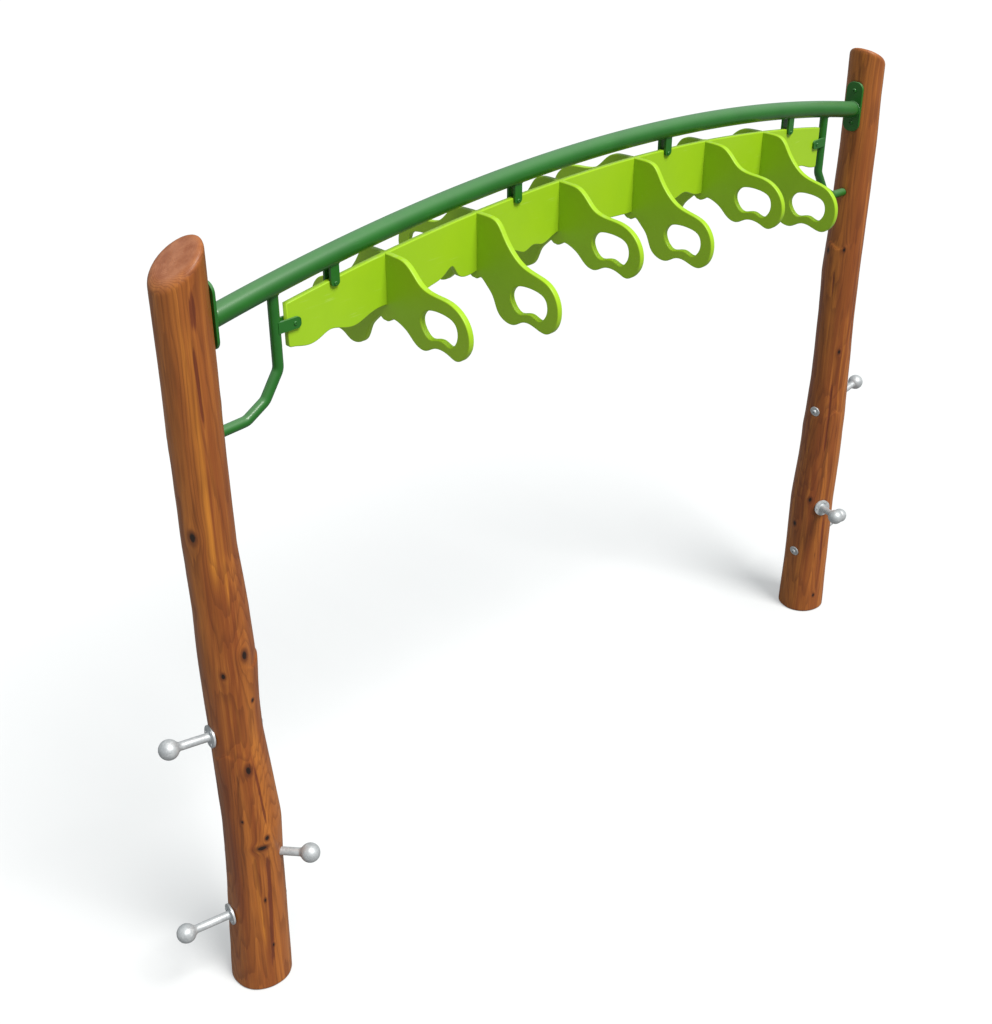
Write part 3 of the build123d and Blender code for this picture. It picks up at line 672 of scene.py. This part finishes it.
# wings as (out from the spine board, height from the board's top) in mm
highWing = [(50, -1), (84, -6), (118, -29), (152, -59), (205, -73), (263, -79), (310, -102),
            (337, -140), (341, -185), (321, -223), (288, -242), (260, -234), (228, -227), (199, -231),
            (162, -248), (125, -240), (93, -214), (56, -195), (26, -193), (13, -202)]
highHole = [(149, -157), (163, -193), (184, -206), (206, -202), (236, -199), (266, -207), (284, -194),
            (295, -161), (286, -135), (250, -120), (208, -118), (168, -129)]
lowWing = [(50, 0), (86, -7), (118, -45), (149, -84), (191, -116), (249, -133), (301, -151),
           (332, -189), (339, -232), (323, -279), (292, -301), (255, -296), (220, -288), (198, -291),
           (162, -309), (128, -308), (98, -289), (74, -242), (42, -208), (20, -196), (11, -202)]
# lower edge of the spine board as (share of the stretch, depth below the top edge in mm)
stretches = [
    [(0.05, 131), (0.12, 141), (0.2, 149), (0.3, 146), (0.4, 138), (0.48, 146),
     (0.56, 158), (0.65, 164), (0.75, 157), (0.86, 149)],
    [(0.22, 168), (0.45, 160), (0.61, 145), (0.69, 131), (0.76, 166), (0.87, 181)],
    [(0.15, 166), (0.32, 158), (0.46, 171), (0.55, 183), (0.66, 172), (0.76, 180), (0.91, 165)],
    [(0.2, 150), (0.45, 160), (0.65, 174), (0.8, 178)],
    [(0.2, 164), (0.38, 166), (0.58, 177), (0.71, 163), (0.85, 177)],
    [(0.22, 166), (0.4, 141), (0.56, 150), (0.8, 168)],
    [(0.17, 150), (0.36, 162), (0.55, 153), (0.73, 141), (0.88, 149)],
]
stretchDepths = [126, 153, 176, 157, 178, 180, 160, 149]

firstGrip = boards["gripInset"] - boards["spineEnd"]
gripX = np.linspace(firstGrip, -firstGrip, boards["gripCount"])
gripX[4] += boards["fifthShift"]


# a cubic line through points: slopes are solved so that the bend is even where pieces meet, the
# parameter is the chord's length, and each piece is then sampled with Hermite's four weights
def smoothLine(points, closed=False, steps=9, startSlope=None, endSlope=None):
    p = np.array(points, float)
    if closed:
        p = np.vstack([p, p[:1]])
    h = np.linalg.norm(np.diff(p, axis=0), axis=1)
    d = np.diff(p, axis=0) / h[:, None]
    n = len(p)
    a, b = np.zeros((n, n)), np.zeros((n, 2))
    i = np.arange(1, n - 1)
    a[i, i - 1], a[i, i], a[i, i + 1] = h[i], 2 * (h[i - 1] + h[i]), h[i - 1]
    b[i] = 3 * (h[i, None] * d[i - 1] + h[i - 1, None] * d[i])
    if closed:
        a[0, 0], a[0, 1], a[0, n - 2] = 2 * (h[-1] + h[0]), h[-1], h[0]
        b[0] = 3 * (h[0] * d[-1] + h[-1] * d[0])
        a[-1, -1], a[-1, 0] = 1, -1
    else:
        a[0, 0], a[0, 1], b[0] = (2, 1, 3 * d[0]) if startSlope is None else (1, 0, startSlope)
        a[-1, -1], a[-1, -2], b[-1] = (2, 1, 3 * d[-1]) if endSlope is None else (1, 0, endSlope)
    m = np.linalg.solve(a, b)
    t = (np.arange(steps) / steps)[None, :, None]
    w = h[:, None, None]
    line = ((1 + 2 * t) * (1 - t)**2 * p[:-1, None] + t * (1 - t)**2 * w * m[:-1, None]
            + t**2 * (3 - 2 * t) * p[1:, None] - t**2 * (1 - t) * w * m[1:, None]).reshape(-1, 2)
    return line if closed else np.vstack([line, p[-1:]])


# A board is a quarter-round, edge and quarter-round profile carried round each outline, with the
# two faces filled between them. At each outline point the profile goes in along the mitre of the
# two edges' outward normals: inset = r (1 - cos), height = half - r (1 - sin).
def makeBoard(name, outlines, place, replaced):
    half, steps = row["boardHalf"], boards["profileSteps"]
    bend = np.linspace(math.pi / 2, 0, steps + 1)
    points, faces, rings, count = [], [], [], 0
    for outline, rounding in outlines:
        nextEdge = unit(np.roll(outline, -1, 0) - outline)
        normal = np.column_stack([nextEdge[:, 1], -nextEdge[:, 0]])
        before = np.roll(normal, 1, 0)
        mitre = (normal + before) / np.maximum(1 + (normal * before).sum(1), 0.4)[:, None]
        inset = np.concatenate([rounding * boards["faceInset"],
                                *(rounding * (1 - math.cos(b)) for b in bend)]).reshape(steps + 2, -1)
        up = np.concatenate([np.full(len(outline), half),
                             *(half - rounding * (1 - math.sin(b)) for b in bend)]).reshape(steps + 2, -1)
        inset, up = np.vstack([inset, inset[::-1]]), np.vstack([up, -up[::-1]])
        flat = outline[None] - mitre[None] * inset[..., None]
        points.append(place(flat[..., 0], flat[..., 1], up).reshape(-1, 3))
        faces += wrapFaces(len(up), len(outline), count)
        rings.append((flat[0], count, count + (len(up) - 1) * len(outline)))
        count += up.size
    inner = np.array(tessellate_polygon([[Vector((*p, 0)) for p in ring] for ring, _, _ in rings]))
    upperIndex = np.concatenate([first + np.arange(len(ring)) for ring, first, _ in rings])
    lowerIndex = np.concatenate([last + np.arange(len(ring)) for ring, _, last in rings])
    faces += upperIndex[inner].tolist() + lowerIndex[inner[:, ::-1]].tolist()
    makePiece(name, np.vstack(points), faces, "lime_board", replaced)


# thousandths as metres
def metres(points):
    return np.array(points, float) / 1000


# a closed line that runs the wanted way round: the sum of its cross products is twice its area,
# and below zero when it runs clockwise
def wound(line, rounding, clockwise):
    ahead = np.roll(line, -1, 0)
    if ((line[:, 0] * ahead[:, 1] - ahead[:, 0] * line[:, 1]).sum() < 0) == clockwise:
        return line, rounding
    return line[::-1], rounding[::-1]


# outline of one grip board: down round the far wing, back up round the near one, and the lap slot
def gripOutline(nearIsHigh):
    wings = {1: lowWing if nearIsHigh else highWing, -1: highWing if nearIsHigh else lowWing}
    lines = []
    for way, wing in wings.items():
        through = np.vstack([[(0, 0)], metres(wing) * (way, 1), [(0, boards["nub"])]])
        line = smoothLine(through, startSlope=(way, 0), endSlope=(-way, 0))
        lines.append(line[(np.abs(line[:, 0]) > boards["lapHalf"]) | (line[:, 1] < -boards["lapDepth"])])
    w, deep = boards["lapHalf"], boards["lapDepth"]
    slot = np.array([(w, 0), (w, -deep), (-w, -deep), (-w, 0)])
    outer = np.vstack([slot[::-1], lines[0], lines[1][::-1][1:]])[::-1]
    rounding = np.full(len(outer), boards["rounding"])
    slotLike = (np.abs(outer[:, 0]) <= w + 1e-6) & (outer[:, 1] > -deep - 1e-6)
    rounding[slotLike] = boards["lapRounding"]
    outlines = [wound(outer, rounding, False)]
    for way, wing in wings.items():
        drop = boards["lowHoleDrop"] if wing is lowWing else 0
        hole = smoothLine(metres(highHole) * (way, 1) - (0, drop), closed=True)
        outlines.append(wound(hole, np.full(len(hole), boards["rounding"]), True))
    return outlines


for index, x in enumerate(gripX):
    top = float(spineTop(x))
    makeBoard(f"gripBoard{index + 1}", gripOutline(index % 2 == 0),
              lambda u, v, up, x=x, top=top: np.stack([x + up, u, top + v], -1),
              [f"grip_board_{index + 1}"])


# outline of the spine board: the arched top edge, and the wavy lower edge broken by the lap slots
def spineOutline():
    end = boards["spineEnd"]
    topX = np.linspace(end, -end, 161)
    upperLine = np.column_stack([topX, spineTop(topX)])
    marks = [-end, *gripX, end]
    wave = []
    for i, stretch in enumerate(stretches):
        wave.append((marks[i], stretchDepths[i]))
        wave += [(marks[i] + share * (marks[i + 1] - marks[i]), depth) for share, depth in stretch]
    wave.append((end, stretchDepths[-1]))
    wave = np.array(wave)
    lowerZ = spineTop(wave[:, 0]) - wave[:, 1] / 1000
    lowerLine = smoothLine(np.column_stack([wave[:, 0], lowerZ]), steps=12)
    # rounded lower corners: a curve bent round each corner
    c, s = boards["spineCorner"], np.linspace(0, 1, 7)[:, None]
    for way in (-1, 1):
        keep = lowerLine[np.abs(lowerLine[:, 0] - way * end) > c]
        tip = lowerLine[0 if way < 0 else -1]
        near, upright = keep[0 if way < 0 else -1], tip + (0, c)
        bent = (1 - s)**2 * upright + 2 * s * (1 - s) * tip + s**2 * near
        lowerLine = np.vstack([bent, keep[1:]]) if way < 0 else np.vstack([keep[:-1], bent[::-1]])
    w, deep = boards["lapHalf"], boards["lapDepth"]
    pieces, rest = [], lowerLine
    for x in gripX:
        before, after = rest[rest[:, 0] < x - w - 1e-4], rest[rest[:, 0] > x + w + 1e-4]
        leftZ, rightZ = (np.interp(v, lowerLine[:, 0], lowerLine[:, 1]) for v in (x - w, x + w))
        roof = float(spineTop(x)) - deep
        pieces += [before, [(x - w, leftZ), (x - w, roof), (x + w, roof), (x + w, rightZ)]]
        rest = after
    outline = np.vstack([*pieces, rest, upperLine])
    rounding = np.full(len(outline), boards["rounding"])
    inSlot = np.abs(outline[:, None, 0] - gripX[None]).min(1) < w + 1e-6
    rounding[inSlot & (outline[:, 1] < spineTop(outline[:, 0]) - 0.02)] = boards["lapRounding"]
    return [(outline, rounding)]


makeBoard("spineBoard", spineOutline(), lambda u, v, up: np.stack([u, -up, v], -1), ["spine_board"])
print("boards: spine and", len(gripX), "grips")


pegShape = {
    "ball": 0.031, "stem": 0.0135, "weld": 0.0045, "around": 56,
    "neck": (1.4, 0.8),         # length and height of the weld at the ball, in welds
    "drips": 0.00012, "dripsAround": 14, "dripLength": 0.008, "seed": 31,
}


# A peg is a profile turned about its line: a weld at the foot that narrows to the bar, the bar, a
# weld that widens to the ball, and the ball's circle to its pole. Small lumps stand for the zinc.
def makePeg(name, log, peg, replaced):
    start, direction, surface = pegLine(log, peg)
    foot = fastened["flangeThick"] - fastened["pegSeat"] if peg[4] else -fastened["sunk"]
    ball, bar, weld, reach = pegShape["ball"], pegShape["stem"], pegShape["weld"], peg[3]
    neckLength, neckHeight = (weld * share for share in pegShape["neck"])
    a = np.linspace(0, math.pi / 2, 7)
    footWeld = np.column_stack([foot + weld * (1 - np.cos(a)), bar + weld * (1 - np.sin(a))])
    meeting = math.acos((bar + neckHeight) / ball)
    ballStart = reach - ball * math.sin(meeting)
    along = np.linspace(foot + weld, ballStart - neckLength, 14)[1:]
    barLine = np.column_stack([along, np.full(len(along), bar)])
    neck = np.column_stack([ballStart - neckLength * np.cos(a[1:]), bar + neckHeight * (1 - np.cos(a[1:]))])
    b = np.linspace(-meeting, math.pi / 2, 26)[1:]
    circle = np.column_stack([reach + ball * np.sin(b), ball * np.cos(b)])
    line = np.vstack([[(foot, 0)], footWeld, barLine, neck, circle])
    turn = turns(pegShape["around"])
    side = np.cross(direction, (0, 0, 1))
    side /= np.linalg.norm(side)
    up = np.cross(side, direction)
    lumps = pegShape["drips"] * softLumps(np.broadcast_to(turn, (len(line), len(turn))),
                                          np.repeat(line[:, :1], len(turn), 1), pegShape["dripsAround"],
                                          pegShape["dripLength"], pegShape["seed"])
    radius = line[:, 1:] + lumps * (line[:, 1:] > 0.004)
    points = (start + direction * (surface + line[:, 0, None, None])
              + radius[..., None] * (side * np.cos(turn)[None, :, None] + up * np.sin(turn)[None, :, None]))
    points[0], points[-1] = points[0].mean(0), points[-1].mean(0)
    makePiece(name, points, wrapFaces(len(line), len(turn)), "galvanised_steel", replaced)


for side, log in logs.items():
    for level, peg in log["pegs"].items():
        makePeg(f"{side}{level.capitalize()}Peg", log, peg,
                [f"{side}_{level}_peg_ball", f"{side}_{level}_peg_stem"])
print("pegs:", sum(len(log["pegs"]) for log in logs.values()))


beam = {"stations": 281, "around": 56}


# The tube's skin over (x, turn a): y = r cos a, and the height is the arch's circle made wider by
# r sin a: centre + root of ((arch radius + r sin a) squared - x squared). Both ends stand upright
# against the end plates.
def makeBeam():
    x = np.linspace(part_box("left_end_plate")[1].x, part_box("right_end_plate")[0].x, beam["stations"])[:, None]
    a = turns(beam["around"])[None, :]
    y, z = row["beamRadius"] * np.cos(a), arcHeight(x, -row["beamRadius"] * np.sin(a))
    skin = np.stack(np.broadcast_arrays(x, y, z), -1)
    ends = [np.repeat(skin[i].mean(0)[None], beam["around"], 0)[None] for i in (0, -1)]
    grid = np.concatenate([ends[0], skin, ends[1]])
    makePiece("archedBeam", grid, wrapFaces(len(grid), beam["around"]), "green_steel", ["beam_tube"])
    print("beam:", len(grid), "rings")


makeBeam()


welds = {"bead": 0.0032, "pitch": 0.0052, "around": 8, "step": 0.0013, "round": 0.995,
         "braceRadius": 0.0155, "tabHalf": (0.0155, 0.0045)}


# A bead is a circle carried along a closed line; its radius swells and shrinks with the length run,
# once per pitch, as a hand weld's ripples do.
def beadAlong(line, flatNormal, scale=1.0):
    gaps = np.linalg.norm(np.roll(line, -1, 0) - line, axis=1)
    run = np.concatenate([[0], np.cumsum(gaps)])
    places = np.linspace(0, run[-1], max(24, int(run[-1] / welds["step"])), endpoint=False)
    closed = np.vstack([line, line[:1]])
    path = np.column_stack([np.interp(places, run, closed[:, k]) for k in range(3)])
    ahead = unit(np.roll(path, -1, 0) - np.roll(path, 1, 0))
    out = unit(np.cross(ahead, flatNormal))
    lift = np.cross(out, ahead)
    ripples = max(6, round(run[-1] / welds["pitch"]))
    swell = 1 + 0.13 * np.cos(places / run[-1] * ripples * 2 * math.pi)
    turn = turns(welds["around"])
    radius = (welds["bead"] * scale * swell)[:, None, None]
    return path[:, None] + radius * (out[:, None] * np.cos(turn)[None, :, None]
                                     + lift[:, None] * np.sin(turn)[None, :, None])


# a rounded rectangle as four quarter circles, in the plane of two directions
def roundedLoop(centre, across, along, halfA, halfB, corner):
    a = np.linspace(0, math.pi / 2, 7)
    loop = np.vstack([np.column_stack([signA * (halfA - corner) + corner * np.cos(a + k * math.pi / 2),
                                       signB * (halfB - corner) + corner * np.sin(a + k * math.pi / 2)])
                      for k, (signA, signB) in enumerate([(1, 1), (-1, 1), (-1, -1), (1, -1)])])
    return np.asarray(centre) + loop[:, :1] * np.asarray(across) + loop[:, 1:] * np.asarray(along)


# a level loop lifted to the underside of the beam: arch height - root of (r squared - y squared)
def underBeam(loop):
    drop = np.sqrt(row["beamRadius"]**2 - loop[:, 1]**2)
    return np.column_stack([loop[:, :2], arcHeight(loop[:, 0]) - drop])


# one bead round each end of the beam, each brace and each hanger tab
def makeWelds():
    grids = []
    xAxis, yAxis, zAxis = np.eye(3)
    beamRadius, tube, tabCorner = row["beamRadius"], welds["braceRadius"], 0.001
    for side in logs:
        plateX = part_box(f"{side}_end_plate")[1 if side == "left" else 0].x
        loop = roundedLoop((plateX, 0, float(arcHeight(plateX))), yAxis, zAxis, beamRadius, beamRadius,
                           welds["round"] * beamRadius)
        grids.append(beadAlong(loop, xAxis, 1.15))
        low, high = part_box(f"{side}_brace_tube")
        braceX = high.x - tube if side == "left" else low.x + tube
        loop = roundedLoop((braceX, 0, 0), xAxis, yAxis, tube, tube, welds["round"] * tube)
        grids.append(beadAlong(underBeam(loop), zAxis, 0.9))
    for index in range(1, 5):
        for face in ("front", "back"):
            low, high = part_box(f"hanger_{index}_{face}")
            x, y = (low.x + high.x) / 2, (low.y + high.y) / 2
            loop = roundedLoop((x, y, 0), xAxis, yAxis, *welds["tabHalf"], tabCorner)
            grids.append(beadAlong(underBeam(loop), zAxis, 0.6))
    faces, count = [], 0
    for grid in grids:
        ring = np.concatenate([grid, grid[:1]])
        faces += wrapFaces(len(ring), welds["around"], count)
        count += ring.shape[0] * ring.shape[1]
    points = np.vstack([np.concatenate([g, g[:1]]).reshape(-1, 3) for g in grids])
    makePiece("weldBeads", points, faces, "green_steel")
    print("welds:", len(grids))


makeWelds()


stage = {
    "floorHalf": 40.0,
    "floorColour": (0.42, 0.425, 0.43, 1), "floorGlow": 0.38, "bounceColour": (0.24, 0.24, 0.24, 1),
    "skySeen": 1.05, "skyStrength": 0.46, "sky": (0.87, 0.965, 1.0, 1),
    "sunStrength": 4.3, "sunSoftness": 26, "sunHeight": 57, "sunColour": (1.0, 0.985, 0.955),
    "cameraPlace": (-3.379, -2.895, 3.64), "cameraPitch": -29.76, "cameraHeading": 44.72, "lens": 50,
}


# the floor glows a little where the camera sees it, so that it is white and keeps a soft shadow
def makeFloor():
    h = stage["floorHalf"]
    mesh = bpy.data.meshes.new("floor")
    mesh.from_pydata([(-h, -h, 0), (h, -h, 0), (h, h, 0), (-h, h, 0)], [], [(0, 1, 2, 3)])
    floor = bpy.data.objects.new("floor", mesh)
    bpy.context.scene.collection.objects.link(floor)
    material = bpy.data.materials.new("paleFloor")
    material.use_nodes = True
    tree = material.node_tree
    tree.nodes.clear()
    seen = put(tree, "BsdfDiffuse", {"Color": stage["floorColour"]})
    glow = put(tree, "Emission", {"Color": (1, 1, 1, 1), "Strength": stage["floorGlow"]})
    both = put(tree, "AddShader", {0: seen.outputs[0], 1: glow.outputs[0]})
    bounced = put(tree, "BsdfDiffuse", {"Color": stage["bounceColour"]})
    share = put(tree, "LightPath").outputs["Is Camera Ray"]
    mixed = put(tree, "MixShader", {0: share, 1: bounced.outputs[0], 2: both.outputs[0]})
    out = put(tree, "OutputMaterial", {"Surface": mixed.outputs[0]})
    out.is_active_output = True
    mesh.materials.append(material)


# sky and sun
def makeLight():
    world = bpy.data.worlds.new("sky")
    world.use_nodes = True
    tree = world.node_tree
    tree.nodes.clear()
    # white where the camera sees it, dimmer as a light
    seen = put(tree, "Background", {"Color": (1, 1, 1, 1), "Strength": stage["skySeen"]})
    lit = put(tree, "Background", {"Color": stage["sky"], "Strength": stage["skyStrength"]})
    share = put(tree, "LightPath").outputs["Is Camera Ray"]
    mixed = put(tree, "MixShader", {0: share, 1: lit.outputs[0], 2: seen.outputs[0]})
    put(tree, "OutputWorld", {"Surface": mixed.outputs[0]})
    bpy.context.scene.world = world
    lamp = bpy.data.lights.new("sun", "SUN")
    lamp.energy, lamp.color = stage["sunStrength"], stage["sunColour"]
    lamp.angle = math.radians(stage["sunSoftness"])
    sun = bpy.data.objects.new("sun", lamp)
    sun.rotation_euler = (math.radians(90 - stage["sunHeight"]), 0, 0)
    bpy.context.scene.collection.objects.link(sun)


# a camera that looks along its heading and pitch
def makeCamera():
    data = bpy.data.cameras.new("camera")
    data.lens, data.sensor_width, data.clip_end = stage["lens"], 36, 200
    camera = bpy.data.objects.new("camera", data)
    pitch, heading = math.radians(stage["cameraPitch"]), math.radians(stage["cameraHeading"])
    level = math.cos(pitch)
    ahead = Vector((level * math.cos(heading), level * math.sin(heading), math.sin(pitch)))
    camera.location = stage["cameraPlace"]
    camera.rotation_euler = ahead.to_track_quat("-Z", "Y").to_euler()
    bpy.context.scene.collection.objects.link(camera)
    bpy.context.scene.camera = camera


makeFloor()
makeLight()
makeCamera()
bpy.context.scene.view_settings.view_transform = "Standard"
print("stage: floor, sky, sun, camera")

bpy.context.view_layer.update()
